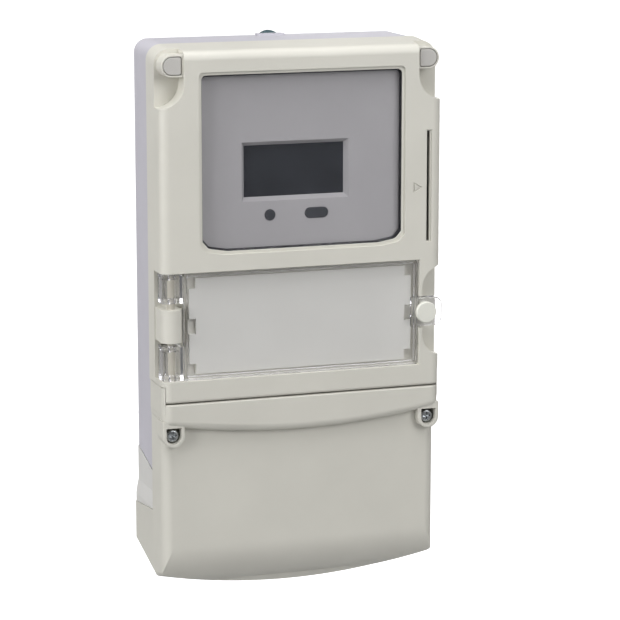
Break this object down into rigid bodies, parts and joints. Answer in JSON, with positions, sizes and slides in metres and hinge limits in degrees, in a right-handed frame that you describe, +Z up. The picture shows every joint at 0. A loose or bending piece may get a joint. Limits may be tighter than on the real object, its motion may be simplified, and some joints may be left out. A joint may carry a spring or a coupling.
{
  "type": "prepaid electricity meter",
  "caption": "Wall-mounted prepaid electricity meter: cream cover with display window and card slot, clear flip door, terminal cover with seal screws, grey base.",
  "frame": {"origin": "centre of the base's flat back, on the wall, at mid height", "axes": "+X to the right seen from the front, +Y into the wall, +Z up"},
  "size_m": [0.1529, 0.0642, 0.291],
  "materials": {
    "cover_cream": "fine satin moulding",
    "terminal_cover_cream": "fine satin moulding",
    "cheek_cream": "satin moulding",
    "base_grey": "satin moulding",
    "clear_plastic": "clear polycarbonate",
    "window_clear": "clear polycarbonate",
    "face_grey": "fine matt print",
    "display_dark": "gloss",
    "dark_window": "gloss, dark translucent",
    "plug_grey": "satin",
    "knob_cream": "satin",
    "pin_cream": "satin",
    "panel_grey": "fine matt",
    "zinc_steel": "bright zinc plated",
    "blue_zinc": "blue zinc plated",
    "brass": "turned",
    "copper": "rolled copper",
    "seal_rubber": "moulded",
    "board_green": "solder resist",
    "black_plastic": "moulded",
    "block_grey": "moulded phenolic",
    "white_plastic": "moulded",
    "can_aluminium": "sleeved can",
    "winding_tape": "wound tape",
    "core_steel": "laminated",
    "varistor_blue": "epoxy dip",
    "lamp_clear": "moulded epoxy"
  },
  "bodies": {
    "root": {"base_case": "base_grey", "side_cheek_right": "cheek_cream", "side_cheek_left": "cheek_cream", "hanger_rivet": "zinc_steel", "upper_cover": "cover_cream", "screw_plug_right": "plug_grey", "screw_plug_left": "plug_grey", "cover_gasket": "seal_rubber", "cover_screws_top": "zinc_steel", "cover_screws_bottom": "zinc_steel", "window_lens": "window_clear", "faceplate": "face_grey", "lcd_glass": "display_dark", "lcd_backlight": "white_plastic", "pulse_led": "lamp_clear", "pulse_led_window": "dark_window", "infrared_window": "dark_window", "infrared_pair": "lamp_clear", "main_board": "board_green", "board_standoffs": "brass", "board_screws": "zinc_steel", "power_board": "board_green", "transformer_core": "core_steel", "transformer_coil": "winding_tape", "capacitors": "can_aluminium", "surge_arresters": "varistor_blue", "backup_battery": "can_aluminium", "processor_chips": "black_plastic", "buzzer": "black_plastic", "card_reader": "black_plastic", "card_contacts": "brass", "contact_block": "white_plastic", "load_relays": "white_plastic", "copper_links": "copper", "current_transformers": "varistor_blue", "neutral_link": "copper", "busbars": "copper", "communication_module": "black_plastic", "meter_battery": "can_aluminium", "battery_holder": "black_plastic", "inner_panel": "panel_grey", "hinge_pin": "pin_cream", "seal_inserts": "brass", "terminal_block": "block_grey", "terminal_clamps": "brass", "clamp_screws": "zinc_steel", "terminal_block_screws": "zinc_steel", "aux_terminal_block": "block_grey", "aux_terminal_screws": "zinc_steel"},
    "door": {"flip_door": "clear_plastic"},
    "knob": {"door_knob": "knob_cream", "knob_clip": "zinc_steel"},
    "terminal_cover": {"terminal_cover": "terminal_cover_cream"},
    "seal_screw_left": {"seal_screw_left": "zinc_steel"},
    "seal_screw_right": {"seal_screw_right": "zinc_steel"},
    "hanger": {"mounting_hanger": "blue_zinc"}
  },
  "joints": [
    {"name": "door_hinge", "type": "hinge", "parent": "root", "child": "door", "pos_m": [-0.0698, -0.056, 0.001], "axis": [0, 0, -1], "range_deg": [0, 120]},
    {"name": "knob_turn", "type": "hinge", "parent": "door", "child": "knob", "pos_m": [0.0675, -0.0616, 0.001], "axis": [0, -1, 0], "range_deg": [0, 90]},
    {"name": "terminal_cover_lift", "type": "slide", "parent": "root", "child": "terminal_cover", "axis": [0, -1, 0], "range_m": [0, 0.07]},
    {"name": "seal_screw_left_turn", "type": "hinge", "parent": "terminal_cover", "child": "seal_screw_left", "pos_m": [-0.07, -0.0585, -0.0563], "axis": [0, -1, 0], "continuous": true},
    {"name": "seal_screw_right_turn", "type": "hinge", "parent": "terminal_cover", "child": "seal_screw_right", "pos_m": [0.07, -0.0585, -0.0563], "axis": [0, -1, 0], "continuous": true},
    {"name": "hanger_slide", "type": "slide", "parent": "root", "child": "hanger", "axis": [0, 0, 1], "range_m": [0, 0.016]}
  ]
}
